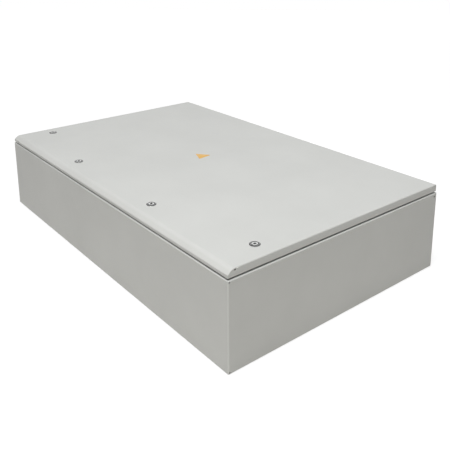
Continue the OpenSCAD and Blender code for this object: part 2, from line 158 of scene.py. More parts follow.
class NodeSheet:
    """A node tree, with short calls that add and join nodes."""

    def __init__(self, tree: bpy.types.NodeTree) -> None:
        """Empties the tree.

        Args:
            tree: The tree of a material or of the world.
        """
        self.tree = tree
        self.tree.nodes.clear()

    def add(self, kind: str, **values: object) -> bpy.types.Node:
        """Adds a node and sets its sockets or properties by name.

        Args:
            kind: The node's type.
            **values: Socket names, with underscores for blanks, or property names.

        Returns:
            The new node.
        """
        node = self.tree.nodes.new(kind)
        for key, value in values.items():
            socket = key.replace("_", " ")
            if socket in node.inputs:
                node.inputs[socket].default_value = value
            else:
                setattr(node, key, value)
        return node

    def join(self, source: Socket, target: Socket) -> None:
        """Joins an output to an input."""
        self.tree.links.new(source, target)

    def math(self, operation: str, first: Socket, second: Socket) -> Socket:
        """Works out one value from two.

        Args:
            operation: The name of the sum, such as MAXIMUM.
            first: The first value.
            second: The second value.

        Returns:
            The result's socket.
        """
        node = self.add("ShaderNodeMath", operation=operation)
        self.join(first, node.inputs[0])
        self.join(second, node.inputs[1])
        return node.outputs["Value"]

    def seen(self) -> Socket:
        """Marks the rays that look at a background, straight, by reflection or through glass.

        Returns:
            A socket that is 1 for such a ray and 0 for light that falls on the object.
        """
        paths = self.add("ShaderNodeLightPath")
        shown = self.math(
            "MAXIMUM", paths.outputs["Is Camera Ray"], paths.outputs["Is Glossy Ray"]
        )
        return self.math("MAXIMUM", shown, paths.outputs["Is Transmission Ray"])


class FinishSheet(NodeSheet):
    """A material's node tree: one shader, and the patterns over the piece that lead to it."""

    def __init__(self, name: str) -> None:
        """Starts a material with one shader.

        Args:
            name: The material's name.
        """
        self.material = bpy.data.materials.new(name)
        self.material.use_nodes = True
        super().__init__(self.material.node_tree)
        self.output = self.add("ShaderNodeOutputMaterial")
        self.shader = self.add("ShaderNodeBsdfPrincipled")
        self.place = self.add("ShaderNodeTexCoord").outputs["Object"]
        self.join(self.shader.outputs["BSDF"], self.output.inputs["Surface"])

    def set(self, name: str, value: float | Colour) -> None:
        """Sets one of the shader's own sockets."""
        self.shader.inputs[name].default_value = value

    def lead(self, source: Socket, name: str) -> None:
        """Leads a pattern to one of the shader's sockets."""
        self.join(source, self.shader.inputs[name])

    def noise(self, scale: float, detail: float, stretch: Place | None = None) -> Socket:
        """Adds a noise over the piece.

        Args:
            scale: Number of patches to the metre.
            detail: Octaves of finer noise.
            stretch: Factors along the three axes, or None for an even noise.

        Returns:
            The noise's value socket.
        """
        noise = self.add(
            "ShaderNodeTexNoise", Scale=scale, Detail=detail, Roughness=NOISE_ROUGHNESS
        )
        source = self.place
        if stretch is not None:
            mapping = self.add("ShaderNodeMapping", Scale=stretch)
            self.join(source, mapping.inputs["Vector"])
            source = mapping.outputs["Vector"]
        self.join(source, noise.inputs["Vector"])
        return noise.outputs["Fac"]

    def spread(self, value: Socket, low: float, high: float) -> Socket:
        """Maps a noise's middle range onto two numbers.

        Args:
            value: A value between 0 and 1.
            low: The number at the lower end of the range.
            high: The number at its upper end.

        Returns:
            The mapped value's socket.
        """
        node = self.add(
            "ShaderNodeMapRange", From_Min=NOISE_LOW, From_Max=NOISE_HIGH, To_Min=low, To_Max=high
        )
        self.join(value, node.inputs["Value"])
        return node.outputs["Result"]

    def tint(self, value: Socket, first: Colour, last: Colour) -> Socket:
        """Runs a noise's middle range between two colours.

        Args:
            value: A value between 0 and 1.
            first: The colour at the lower end of the range.
            last: The colour at its upper end.

        Returns:
            The colour's socket.
        """
        ramp = self.add("ShaderNodeValToRGB")
        ends = ramp.color_ramp.elements
        ends[0].position, ends[0].color = NOISE_LOW, first
        ends[1].position, ends[1].color = NOISE_HIGH, last
        self.join(value, ramp.inputs["Fac"])
        return ramp.outputs["Color"]

    def within(self, value: Socket, low: float, high: float) -> Socket:
        """Marks where a value lies between two numbers.

        Args:
            value: The value.
            low: The lower number.
            high: The higher number.

        Returns:
            A socket that is 1 between the numbers and 0 elsewhere.
        """
        node = self.add("ShaderNodeMath", operation="COMPARE")
        self.join(value, node.inputs[0])
        node.inputs[1].default_value = (low + high) / 2
        node.inputs[2].default_value = (high - low) / 2
        return node.outputs["Value"]

    def about(self, axis: Axis) -> tuple[Socket, Socket]:
        """Measures the place on the piece about an upright axis.

        Args:
            axis: The axis, in X and Y.

        Returns:
            The sockets of the distance from the axis and of the height.
        """
        apart = self.add("ShaderNodeSeparateXYZ")
        self.join(self.place, apart.inputs["Vector"])
        flat = self.add("ShaderNodeCombineXYZ")
        self.join(apart.outputs["X"], flat.inputs["X"])
        self.join(apart.outputs["Y"], flat.inputs["Y"])
        reach = self.add("ShaderNodeVectorMath", operation="DISTANCE")
        self.join(flat.outputs["Vector"], reach.inputs[0])
        reach.inputs[1].default_value = (*axis, 0.0)
        return reach.outputs["Value"], apart.outputs["Z"]

    def bump(self, height: Socket, strength: float, distance: float) -> None:
        """Gives the shader's surface a relief.

        Args:
            height: The relief, from 0 to 1.
            strength: How much of the relief shows.
            distance: The relief's height in metres.
        """
        node = self.add("ShaderNodeBump", Strength=strength, Distance=distance)
        self.join(height, node.inputs["Height"])
        self.lead(node.outputs["Normal"], "Normal")


class Finish(Protocol):
    """Anything that can make a material."""

    def material(self) -> bpy.types.Material:
        """Makes the finish's material."""


@dataclass(frozen=True)
class PowderCoat:
    """Baked powder paint: even, half matt, with a fine orange-peel relief."""

    name: str = "light_grey_powder_coat"
    dark: Colour = srgb(203, 204, 201)
    light: Colour = srgb(208, 209, 206)
    cloud: float = 5.0
    cloud_detail: float = 3.0
    peel: float = 520.0
    peel_detail: float = 2.0
    peel_strength: float = 0.35
    peel_height: float = 0.06 * MM
    sheen_patch: float = 156.0
    matt: Span = (0.40, 0.50)
    specular: float = 0.4

    def material(self) -> bpy.types.Material:
        """Makes the paint, with soft clouds of tone and an orange-peel relief.

        Returns:
            The material.
        """
        sheet = FinishSheet(self.name)
        clouds = sheet.noise(self.cloud, self.cloud_detail)
        patches = sheet.noise(self.sheen_patch, self.peel_detail)
        peel = sheet.noise(self.peel, self.peel_detail)
        sheet.lead(sheet.tint(clouds, self.dark, self.light), "Base Color")
        sheet.lead(sheet.spread(patches, *self.matt), "Roughness")
        sheet.bump(peel, self.peel_strength, self.peel_height)
        sheet.set("Specular IOR Level", self.specular)
        return sheet.material


@dataclass(frozen=True)
class BareMetal:
    """Plated or turned metal with fine marks along one direction."""

    name: str
    dark: Colour
    light: Colour
    gloss: Span
    mark: float = 300.0
    stretch: Place = (1.0, 1.0, 1.0)
    mark_detail: float = 3.0
    mark_strength: float = 0.2
    mark_height: float = 0.01 * MM
    cloud_share: float = 0.1
    cloud_detail: float = 4.0

    def material(self) -> bpy.types.Material:
        """Makes the metal, with clouds in its colour and marks in its gloss.

        Returns:
            The material.
        """
        sheet = FinishSheet(self.name)
        clouds = sheet.noise(self.mark * self.cloud_share, self.cloud_detail)
        marks = sheet.noise(self.mark, self.mark_detail, self.stretch)
        sheet.lead(sheet.tint(clouds, self.dark, self.light), "Base Color")
        sheet.lead(sheet.spread(marks, *self.gloss), "Roughness")
        sheet.bump(marks, self.mark_strength, self.mark_height)
        sheet.set("Metallic", 1.0)
        return sheet.material


@dataclass(frozen=True)
class Zone:
    """A ring about a lock's axis, between two radii and two heights."""

    radii: Span
    heights: Span


@dataclass(frozen=True)
class LockPlating:
    """Chrome, bright on a lock's head and rims, with painted shade and painted dark reflections
    on its collar, ledge and socket.
    """

    name: str
    axis: Axis
    bright: Colour = srgb(229, 230, 229)
    # Painted shade and painted dark reflections: the near-black colour laid on the zones below.
    painted_shade_and_reflection: Colour = srgb(36, 37, 38)
    key_socket: Zone = Zone((0.0, 5.6 * MM), (246.0 * MM, 252.3 * MM))
    socket_mouth: Zone = Zone((0.0, 3.6 * MM), (246.0 * MM, 253.0 * MM))
    collar_face: Zone = Zone((8.0 * MM, 10.5 * MM), (252.2 * MM, 253.0 * MM))
    flange_ledge: Zone = Zone((11.0 * MM, 13.5 * MM), (251.3 * MM, 252.1 * MM))
    gloss: Span = (0.16, 0.26)
    mark: float = 700.0
    mark_detail: float = 3.0
    mark_strength: float = 0.15
    mark_height: float = 0.01 * MM

    def painted_dark_zones(self, sheet: FinishSheet) -> Socket:
        """Marks the zones about the lock's axis where shade and dark reflections are painted.

        Args:
            sheet: The plating's node tree.

        Returns:
            A socket that is 1 in the zones and 0 elsewhere.
        """
        radius, height = sheet.about(self.axis)
        dark = None
        for zone in (self.key_socket, self.socket_mouth, self.collar_face, self.flange_ledge):
            ring = sheet.within(radius, *zone.radii)
            layer = sheet.within(height, *zone.heights)
            inside = sheet.math("MULTIPLY", ring, layer)
            dark = inside if dark is None else sheet.math("MAXIMUM", dark, inside)
        return dark

    def material(self) -> bpy.types.Material:
        """Makes the plating, whose colour follows the distance from the axis and the height.

        Returns:
            The material.
        """
        sheet = FinishSheet(self.name)
        marks = sheet.noise(self.mark, self.mark_detail)
        # Paints shade and dark reflections into the chrome's colour inside the zones.
        sheet.lead(sheet.tint(self.painted_dark_zones(sheet), self.bright, self.painted_shade_and_reflection), "Base Color")
        sheet.lead(sheet.spread(marks, *self.gloss), "Roughness")
        sheet.bump(marks, self.mark_strength, self.mark_height)
        sheet.set("Metallic", 1.0)
        return sheet.material


@dataclass(frozen=True)
class FoamRubber:
    """Foamed-in-place sealing rubber: dull, dark and finely pored."""

    name: str = "foam_rubber"
    dark: Colour = srgb(34, 35, 36)
    light: Colour = srgb(52, 53, 54)
    pore: float = 900.0
    pore_detail: float = 3.0
    pore_strength: float = 0.6
    pore_depth: float = 0.4 * MM
    roughness: float = 0.92
    specular: float = 0.25

    def material(self) -> bpy.types.Material:
        """Makes the foam, with pores in its relief and its colour.

        Returns:
            The material.
        """
        sheet = FinishSheet(self.name)
        pores = sheet.noise(self.pore, self.pore_detail)
        sheet.lead(sheet.tint(pores, self.dark, self.light), "Base Color")
        sheet.bump(pores, self.pore_strength, self.pore_depth)
        sheet.set("Roughness", self.roughness)
        sheet.set("Specular IOR Level", self.specular)
        return sheet.material


@dataclass(frozen=True)
class PrintedFilm:
    """Self-adhesive film in one amber colour."""

    name: str = "amber_film"
    dark: Colour = srgb(222, 170, 68)
    light: Colour = srgb(227, 176, 76)
    gloss: Span = (0.32, 0.42)
    grain: float = 260.0
    grain_detail: float = 2.0
    grain_strength: float = 0.1
    grain_height: float = 0.02 * MM

    def material(self) -> bpy.types.Material:
        """Makes the film, with a faint grain in its colour and gloss.

        Returns:
            The material.
        """
        sheet = FinishSheet(self.name)
        grain = sheet.noise(self.grain, self.grain_detail)
        sheet.lead(sheet.tint(grain, self.dark, self.light), "Base Color")
        sheet.lead(sheet.spread(grain, *self.gloss), "Roughness")
        sheet.bump(grain, self.grain_strength, self.grain_height)
        return sheet.material


@dataclass(frozen=True)
class WhiteFloor:
    """A pale studio floor that shows white and keeps a soft shadow."""

    name: str = "studio_floor"
    bounce: Colour = (0.475, 0.46, 0.435, 1.0)
    shown: Colour = (0.40, 0.40, 0.40, 1.0)
    glow: float = 0.72

    def material(self) -> bpy.types.Material:
        """Makes the floor, which glows a little where it is seen and else only scatters light.

        Returns:
            The material.
        """
        sheet = FinishSheet(self.name)
        sheet.set("Base Color", self.bounce)
        sheet.set("Roughness", 1.0)
        sheet.set("Specular IOR Level", 0.0)
        matt = sheet.add("ShaderNodeBsdfDiffuse", Color=self.shown)
        glow = sheet.add("ShaderNodeEmission", Strength=self.glow)
        both = sheet.add("ShaderNodeAddShader")
        mix = sheet.add("ShaderNodeMixShader")
        sheet.join(matt.outputs["BSDF"], both.inputs[0])
        sheet.join(glow.outputs["Emission"], both.inputs[1])
        sheet.join(sheet.seen(), mix.inputs["Fac"])
        sheet.join(sheet.shader.outputs["BSDF"], mix.inputs[1])
        sheet.join(both.outputs["Shader"], mix.inputs[2])
        sheet.join(mix.outputs["Shader"], sheet.output.inputs["Surface"])
        return sheet.material


class Palette:
    """The finishes of the whole enclosure, each made once."""

    def __init__(self) -> None:
        """Makes the materials of the slots, the locks, the sticker and the floor."""
        finishes: dict[Slot, Finish] = {
            Slot.PAINT: PowderCoat(),
            Slot.ZINC: BareMetal(
                "zinc_plate",
                srgb(186, 190, 193),
                srgb(205, 208, 210),
                gloss=(0.30, 0.42),
                mark=240.0,
                stretch=(0.2, 3.0, 1.0),
            ),
            Slot.STEEL: BareMetal(
                "plain_steel", srgb(150, 152, 154), srgb(172, 174, 175), gloss=(0.28, 0.40)
            ),
            Slot.RUBBER: FoamRubber(),
        }
        self.by_slot = {slot: finish.material() for slot, finish in finishes.items()}
        self.plating = {
            lock: LockPlating(f"{lock}_plating", axis_of(f"{lock}_barrel")).material()
            for lock in LOCKS
        }
        self.film = PrintedFilm().material()
        self.floor = WhiteFloor().material()

    def of_node(self, node: str, slot: Slot) -> bpy.types.Material:
        """Finds the finish of a node: its slot's own, or the plating about its lock's axis.

        Args:
            node: The node's name.
            slot: The node's slot.

        Returns:
            The material.
        """
        if slot is Slot.CHROME:
            return next(made for lock, made in self.plating.items() if node.startswith(lock))
        return self.by_slot[slot]


class Bench:
    """The modelling bench: Blender's operators, with what they act on selected first."""

    @staticmethod
    def clear() -> None:
        """Leaves every object unselected and out of edit mode."""
        if bpy.context.object is not None and bpy.context.object.mode != "OBJECT":
            Bench.leave()
        bpy.ops.object.select_all(action="DESELECT")

    @staticmethod
    def only(*pieces: Piece) -> None:
        """Selects some objects alone.

        Args:
            *pieces: The objects, of which the first becomes the active one.
        """
        Bench.clear()
        for piece in pieces:
            piece.select_set(True)
        bpy.context.view_layer.objects.active = pieces[0]

    @staticmethod
    def edit() -> None:
        """Opens the active object in edit mode with everything selected."""
        bpy.ops.object.mode_set(mode="EDIT")
        bpy.ops.mesh.select_all(action="SELECT")

    @staticmethod
    def leave() -> None:
        """Goes back from edit mode to object mode."""
        bpy.ops.object.mode_set(mode="OBJECT")

    @staticmethod
    def pick(
        piece: Piece,
        kind: Element,
        wanted: Callable[[bmesh.types.BMEdge | bmesh.types.BMFace], bool],
    ) -> None:
        """Selects the edges or faces that pass a test, in edit mode.

        Args:
            piece: The object in edit mode.
            kind: Whether edges or faces are selected.
            wanted: The test.
        """
        bpy.ops.mesh.select_mode(type=kind.value)
        bpy.ops.mesh.select_all(action="DESELECT")
        mesh = bmesh.from_edit_mesh(piece.data)
        for element in mesh.edges if kind is Element.EDGE else mesh.faces:
            element.select_set(wanted(element))
        bmesh.update_edit_mesh(piece.data)

    @staticmethod
    def pick_edges_above(piece: Piece, height: float) -> None:
        """Selects the edges that lie above a height, in edit mode."""
        Bench.pick(piece, Element.EDGE, lambda edge: all(v.co.z > height for v in edge.verts))

    @staticmethod
    def pick_ends(piece: Piece) -> None:
        """Selects the faces that look up or down, in edit mode."""
        Bench.pick(piece, Element.FACE, lambda face: abs(face.normal.z) > FLAT_NORMAL)

    @staticmethod
    def outward() -> None:
        """Merges doubles and points every face outwards, in edit mode."""
        bpy.ops.mesh.select_mode(type="VERT")
        bpy.ops.mesh.select_all(action="SELECT")
        bpy.ops.mesh.remove_doubles(threshold=MERGE_DISTANCE)
        bpy.ops.mesh.normals_make_consistent(inside=False)

    @staticmethod
    def settle(piece: Piece) -> None:
        """Puts an object's place, turn and size into its mesh."""
        Bench.only(piece)
        bpy.ops.object.transform_apply(location=True, rotation=True, scale=True)

    @staticmethod
    def copy_to(piece: Piece, offset: Vector) -> Piece:
        """Copies a settled piece, with a mesh of its own.

        Args:
            piece: The piece to copy.
            offset: How far the copy is moved.

        Returns:
            The copy, settled.
        """
        Bench.only(piece)
        bpy.ops.object.duplicate(linked=False)
        copy = bpy.context.object
        copy.location = offset
        Bench.settle(copy)
        return copy

    @staticmethod
    def finish(
        piece: Piece,
        name: str,
        body: Body,
        material: bpy.types.Material,
        slot: Slot | None = None,
        stands_for: Iterable[str] = (),
    ) -> Piece:
        """Names, shades and dresses a piece, and hands it to its body.

        Args:
            piece: The finished mesh object.
            name: The piece's name.
            body: The body that it rides on.
            material: Its material.
            slot: The record's slot of its finish, if any; not used.
            stands_for: CAD nodes that it replaces.

        Returns:
            The piece.
        """
        Bench.settle(piece)
        bpy.ops.object.shade_smooth_by_angle(angle=SMOOTH_ANGLE)
        piece.name = piece.data.name = name
        piece.data.materials.clear()
        piece.data.materials.append(material)
        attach(piece, body.value)
        if stands_for:
            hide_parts(*stands_for)
        log.info("%s: %d faces, rides on %s", name, len(piece.data.polygons), body.value)
        return piece


@dataclass(frozen=True)
class SheetMetal:
    """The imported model's own pieces, each dressed in the finish of its slot."""

    endings: tuple[tuple[Slot, tuple[str, ...]], ...] = (
        (Slot.RUBBER, ("_seal", "_seals")),
        (Slot.CHROME, ("_housing", "_barrel")),
        (Slot.STEEL, ("_stud", "_studs", "_pin", "_bolt")),
        (Slot.ZINC, ("_nut", "_nuts", "_washer", "_washers", "_cam", "_plate")),
    )

    def slot_of(self, node: str) -> Slot:
        """Finds the slot of a node by the ending of its name, which is paint for sheet steel."""
        return next((slot for slot, ends in self.endings if node.endswith(ends)), Slot.PAINT)

    def dress(self, palette: Palette) -> None:
        """Assigns every node its finish.

        Args:
            palette: The finishes.
        """
        for name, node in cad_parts.items():
            slot = self.slot_of(name)
            if not node.material_slots:
                node.data.materials.append(None)
            for place in node.material_slots:
                place.material = palette.of_node(name, slot)
            log.info("%s: %s", name, slot.value)


@dataclass
class DoorSticker:
    """A blank three-cornered sticker in the middle of the door."""

    centre: Axis = (-10 * MM, 10 * MM)
    side: float = 50 * MM
    corner: float = 3.5 * MM
    corner_steps: int = 6
    thick: float = 0.25 * MM
    edge: float = 0.08 * MM
    edge_steps: int = 2
    turn: float = math.radians(188)

    def build(self, palette: Palette) -> Piece:
        """Models the film and lays it on the door.

        Args:
            palette: The finishes.

        Returns:
            The sticker.
        """
        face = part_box("door_panel")[1].z
        Bench.clear()
        bpy.ops.mesh.primitive_circle_add(
            vertices=3,
            radius=self.side / math.sqrt(3),
            fill_type="NGON",
            location=(*self.centre, face),
            rotation=(0, 0, self.turn - math.pi / 2),
        )
        film = bpy.context.object
        Bench.edit()
        bpy.ops.mesh.bevel(offset=self.corner, segments=self.corner_steps, affect="VERTICES")
        bpy.ops.mesh.select_all(action="SELECT")
        bpy.ops.mesh.extrude_region_move(TRANSFORM_OT_translate={"value": (0, 0, self.thick)})
        Bench.outward()
        Bench.pick_edges_above(film, self.thick / 2)
        bpy.ops.mesh.bevel(offset=self.edge, segments=self.edge_steps, affect="EDGES")
        Bench.leave()
        return Bench.finish(film, "door_sticker", Body.DOOR, palette.film)


@dataclass
class FoamSeal:
    """The foamed sealing ring on the inside of the door, with the trace of the lip along it."""

    width: float = 12 * MM
    corner: float = 12 * MM
    corner_steps: int = 8
    trace_width: float = 3.4 * MM
    trace_depth: float = 0.9 * MM
    section_steps: int = 48
    foot_share: float = 0.2
    shoulder_share: float = 0.45

    def section(self, height: float) -> Piece:
        """Models half a round below a straight-sided foot, with the lip's trace in its crown.

        Args:
            height: The seal's height.

        Returns:
            The section as a curve, its crown towards -Y.
        """
        Bench.clear()
        bpy.ops.mesh.primitive_circle_add(
            vertices=self.section_steps, radius=self.width / 2, fill_type="NOTHING"
        )
        section = bpy.context.object
        foot = height - self.width / 2
        for vertex in section.data.vertices:
            x, y = vertex.co.x, vertex.co.y
            if y > MERGE_DISTANCE:
                if abs(x) > self.width * self.foot_share:
                    vertex.co.x = math.copysign(self.width / 2, x)
                vertex.co.y = foot if abs(x) < self.width * self.shoulder_share else foot / 2
            elif abs(x) < self.trace_width / 2:
                vertex.co.y += self.trace_depth
        bpy.ops.object.convert(target="CURVE")
        return bpy.context.object

    def path(self, low: Vector, high: Vector) -> Piece:
        """Models the round-cornered line that the section follows.

        Args:
            low: The lowest corner of the seal's box.
            high: The highest corner of the seal's box.

        Returns:
            The line as a curve.
        """
        Bench.clear()
        bpy.ops.mesh.primitive_plane_add(size=1, location=(0, 0, low.z + self.width / 2))
        line = bpy.context.object
        line.scale = (high.x - low.x - self.width, high.y - low.y - self.width, 1)
        Bench.settle(line)
        Bench.edit()
        bpy.ops.mesh.bevel(offset=self.corner, segments=self.corner_steps, affect="VERTICES")
        bpy.ops.mesh.select_all(action="SELECT")
        bpy.ops.mesh.delete(type="ONLY_FACE")
        Bench.leave()
        bpy.ops.object.convert(target="CURVE")
        return bpy.context.object

    def build(self, palette: Palette) -> Piece:
        """Leads the section round the door's inside.

        Args:
            palette: The finishes.

        Returns:
            The seal.
        """
        low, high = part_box("door_seal")
        section = self.section(high.z - low.z)
        ring = self.path(low, high)
        ring.data.dimensions = "3D"
        ring.data.twist_mode = "Z_UP"
        ring.data.bevel_mode = "OBJECT"
        ring.data.bevel_object = section
        bpy.ops.object.convert(target="MESH")
        ring = bpy.context.object
        bpy.data.objects.remove(section)
        Bench.only(ring)
        Bench.edit()
        Bench.outward()
        Bench.leave()
        rubber = palette.by_slot[Slot.RUBBER]
        return Bench.finish(
            ring, "door_foam_seal", Body.DOOR, rubber, Slot.RUBBER, ["door_seal"]
        )


@dataclass
class Fastener:
    """A small fastener that is modelled once and stands for a plain CAD node at every place."""

    node: str
    name: str
    body: Body

    def repeat(
        self, master: Piece, places: list[Axis], level: float, palette: Palette, slot: Slot
    ) -> list[Piece]:
        """Copies the modelled fastener to every place and takes the original away.

        Args:
            master: The fastener about the origin.
            places: The axes, in X and Y.
            level: The height of the fastener's origin.
            palette: The finishes.
            slot: The slot whose finish it wears.

        Returns:
            The fasteners, of which the first replaces the node.
        """
        made = []
        for number, (x, y) in enumerate(places, 1):
            copy = Bench.copy_to(master, Vector((x, y, level)))
            name = self.name if len(places) == 1 else f"{self.name}_{number}"
            nodes = [self.node] if number == 1 else []
            made.append(
                Bench.finish(copy, name, self.body, palette.by_slot[slot], slot, nodes)
            )
        bpy.data.objects.remove(master)
        return made


@dataclass
class ThreadedStud(Fastener):
    """A weld stud with a rolled thread, modelled in place of a plain one."""

    pitch: float
    facing: Facing = Facing.UP
    chamfer: float = 0.8 * MM
    sides: int = 24
    core_share: float = 0.42
    ridge_share: float = 0.5

    def core(self, radius: float, length: float) -> Piece:
        """Models the stud's core, standing on the origin, with a chamfered tip.

        Args:
            radius: The core's radius.
            length: The stud's length.

        Returns:
            The core.
        """
        Bench.clear()
        bpy.ops.mesh.primitive_cylinder_add(
            vertices=self.sides, radius=radius, depth=length, location=(0, 0, length / 2)
        )
        core = bpy.context.object
        Bench.settle(core)
        Bench.edit()
        Bench.pick_edges_above(core, length / 2)
        bpy.ops.mesh.bevel(offset=self.chamfer, segments=1, affect="EDGES")
        Bench.leave()
        return core

    def ridge(self, radius: float, length: float) -> Piece:
        """Winds a three-cornered ridge round the core.

        Args:
            radius: The thread's outer radius.
            length: The stud's length.

        Returns:
            The ridge.
        """
        turns = int((length - 2 * self.chamfer) / self.pitch) - 1
        corner = self.pitch * self.ridge_share * 2 / 3
        centre = (radius - corner, 0, self.pitch)
        Bench.clear()
        bpy.ops.mesh.primitive_circle_add(
            vertices=3,
            radius=corner,
            fill_type="NGON",
            location=centre,
            rotation=(math.pi / 2, 0, 0),
        )
        ridge = bpy.context.object
        Bench.settle(ridge)
        Bench.edit()
        bpy.ops.transform.rotate(value=math.pi / 2, orient_axis="Y", center_override=centre)
        bpy.ops.mesh.delete(type="ONLY_FACE")
        Bench.leave()
        winding = ridge.modifiers.new("winding", "SCREW")
        winding.axis = "Z"
        winding.screw_offset = self.pitch
        winding.iterations = turns
        winding.steps = winding.render_steps = self.sides
        bpy.ops.object.modifier_apply(modifier=winding.name)
        Bench.edit()
        bpy.ops.mesh.fill_holes(sides=4)
        Bench.outward()
        Bench.leave()
        return ridge

    def build(self, palette: Palette, places: list[Axis]) -> list[Piece]:
        """Models one stud and copies it to every place.

        Args:
            palette: The finishes.
            places: The studs' axes, in X and Y.

        Returns:
            The studs.
        """
        low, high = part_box(self.node)
        length = high.z - low.z
        radius = high.x - max(x for x, _ in places)
        core = self.core(radius - self.pitch * self.core_share, length)
        ridge = self.ridge(radius, length)
        Bench.only(core, ridge)
        bpy.ops.object.join()
        stud = bpy.context.object
        if self.facing is Facing.DOWN:
            stud.rotation_euler = (math.pi, 0, 0)
            Bench.settle(stud)
        foot = low.z if self.facing is Facing.UP else high.z
        return self.repeat(stud, places, foot, palette, Slot.STEEL)


@dataclass
class HexNut(Fastener):
    """A hexagon nut with chamfered corners and a countersunk bore, in place of a plain one."""

    flats: float
    bore: float
    sides: int = 48
    face_share: float = 0.95
    chamfer_slope: float = math.tan(math.radians(30))
    countersink: float = 0.5 * MM
    spare: float = 1.0 * MM

    @property
    def corner(self) -> float:
        """Half the width over the corners."""
        return self.flats / 2 / math.cos(math.pi / 6)

    def barrel(self, height: float) -> Piece:
        """Models a round blank with sloping ends, which trims the nut's ends and corners.

        Args:
            height: The nut's height.

        Returns:
            The blank, centred on the origin.
        """
        radius = self.corner + self.spare
        slope_width = radius - self.flats / 2 * self.face_share
        Bench.clear()
        bpy.ops.mesh.primitive_cylinder_add(
            vertices=self.sides,
            radius=radius,
            depth=height,
            rotation=(0, 0, math.pi / self.sides),
        )
        barrel = bpy.context.object
        Bench.settle(barrel)
        Bench.edit()
        Bench.pick_ends(barrel)
        bpy.ops.mesh.inset(thickness=slope_width)
        Bench.leave()
        for vertex in barrel.data.vertices:
            if vertex.co.xy.length > self.corner:
                vertex.co.z -= math.copysign(slope_width * self.chamfer_slope, vertex.co.z)
        return barrel

    def drill(self, height: float) -> Piece:
        """Models the bore with its two countersinks as one tool.

        Args:
            height: The nut's height.

        Returns:
            The tool, centred on the origin, whose cones run on past the nut's ends.
        """
        reach = 2 * self.countersink
        widen = 1 + reach / (self.bore / 2)
        Bench.clear()
        bpy.ops.mesh.primitive_cylinder_add(
            vertices=self.sides, radius=self.bore / 2, depth=height - reach
        )
        tool = bpy.context.object
        Bench.edit()
        Bench.pick_ends(tool)
        bpy.ops.mesh.extrude_region_move(TRANSFORM_OT_translate={"value": (0, 0, 0)})
        Bench.leave()
        for end in (face for face in tool.data.polygons if len(face.vertices) == self.sides):
            for vertex in (tool.data.vertices[index] for index in end.vertices):
                vertex.co.x *= widen
                vertex.co.y *= widen
                vertex.co.z += math.copysign(reach, vertex.co.z)
        return tool

    def blank(self, height: float, across_y: bool) -> Piece:
        """Models one finished nut about the origin.

        Args:
            height: The nut's height.
            across_y: Whether two corners point along Y instead of X.

        Returns:
            The nut.
        """
        barrel, tool = self.barrel(height), self.drill(height)
        Bench.clear()
        bpy.ops.mesh.primitive_cylinder_add(
            vertices=6,
            radius=self.corner,
            depth=height + 2 * self.spare,
            rotation=(0, 0, 0 if across_y else math.pi / 2),
        )
        nut = bpy.context.object
        Bench.settle(nut)
        steps = (("corners", "INTERSECT", barrel), ("bore", "DIFFERENCE", tool))
        for label, operation, other in steps:
            step = nut.modifiers.new(label, "BOOLEAN")
            step.operation = operation
            step.object = other
            step.solver = "EXACT"
            bpy.ops.object.modifier_apply(modifier=step.name)
            bpy.data.objects.remove(other)
        Bench.only(nut)
        Bench.edit()
        Bench.outward()
        Bench.leave()
        return nut

    def build(self, palette: Palette, places: list[Axis]) -> list[Piece]:
        """Models one nut and copies it to every place.

        Args:
            palette: The finishes.
            places: The nuts' axes, in X and Y.

        Returns:
            The nuts.
        """
        low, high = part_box(self.node)
        extent = high - low
        nut = self.blank(extent.z, len(places) == 1 and extent.y > extent.x)
        return self.repeat(nut, places, (low.z + high.z) / 2, palette, Slot.ZINC)


@dataclass
class SpotWelds:
    """Rows of spot-weld marks along the two feet of a door rib."""

    rib: str
    foot: float = 13 * MM
    sheet: float = 1.2 * MM
    mark: float = 6 * MM
    sides: int = 24
    crest: float = 0.9 * MM
    height: float = 0.3 * MM
    hollow_share: float = 0.8
    sunk: float = 0.05 * MM
    pitch: float = 65 * MM
    end: float = 22 * MM

    def single(self) -> Piece:
        """Models one mark: a low ring with a hollow in the middle, facing down.

        Returns:
            The mark, with its foot on the origin.
        """
        Bench.clear()
        bpy.ops.mesh.primitive_circle_add(
            vertices=self.sides, radius=self.mark / 2, fill_type="NGON"
        )
        mark = bpy.context.object
        Bench.edit()
        drop = (0, 0, -self.height - self.sunk)
        bpy.ops.mesh.extrude_region_move(TRANSFORM_OT_translate={"value": drop})
        bpy.ops.mesh.inset(thickness=self.crest / 2)
        bpy.ops.mesh.inset(thickness=self.crest)
        bpy.ops.transform.translate(value=(0, 0, self.height * self.hollow_share))
        Bench.outward()
        Bench.leave()
        return mark

    def build(self, palette: Palette) -> Piece:
        """Repeats the mark along both feet.

        Args:
            palette: The finishes.

        Returns:
            The marks of the rib, as one mesh.
        """
        low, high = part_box(self.rib)
        room = high.x - low.x - 2 * self.end
        count = int(room / self.pitch) + 1
        marks = self.single()
        marks.location = (
            low.x + self.end,
            low.y + self.foot / 2,
            high.z - self.sheet + self.sunk,
        )
        Bench.settle(marks)
        rows = (
            ("along", count, (room / (count - 1), 0, 0)),
            ("across", 2, (0, high.y - low.y - self.foot, 0)),
        )
        for label, number, offset in rows:
            row = marks.modifiers.new(label, "ARRAY")
            row.count = number
            row.use_relative_offset = False
            row.use_constant_offset = True
            row.constant_offset_displace = offset
            bpy.ops.object.modifier_apply(modifier=row.name)
        name = self.rib.replace("door_rib", "spot_welds")
        return Bench.finish(marks, name, Body.DOOR, palette.by_slot[Slot.PAINT], Slot.PAINT)


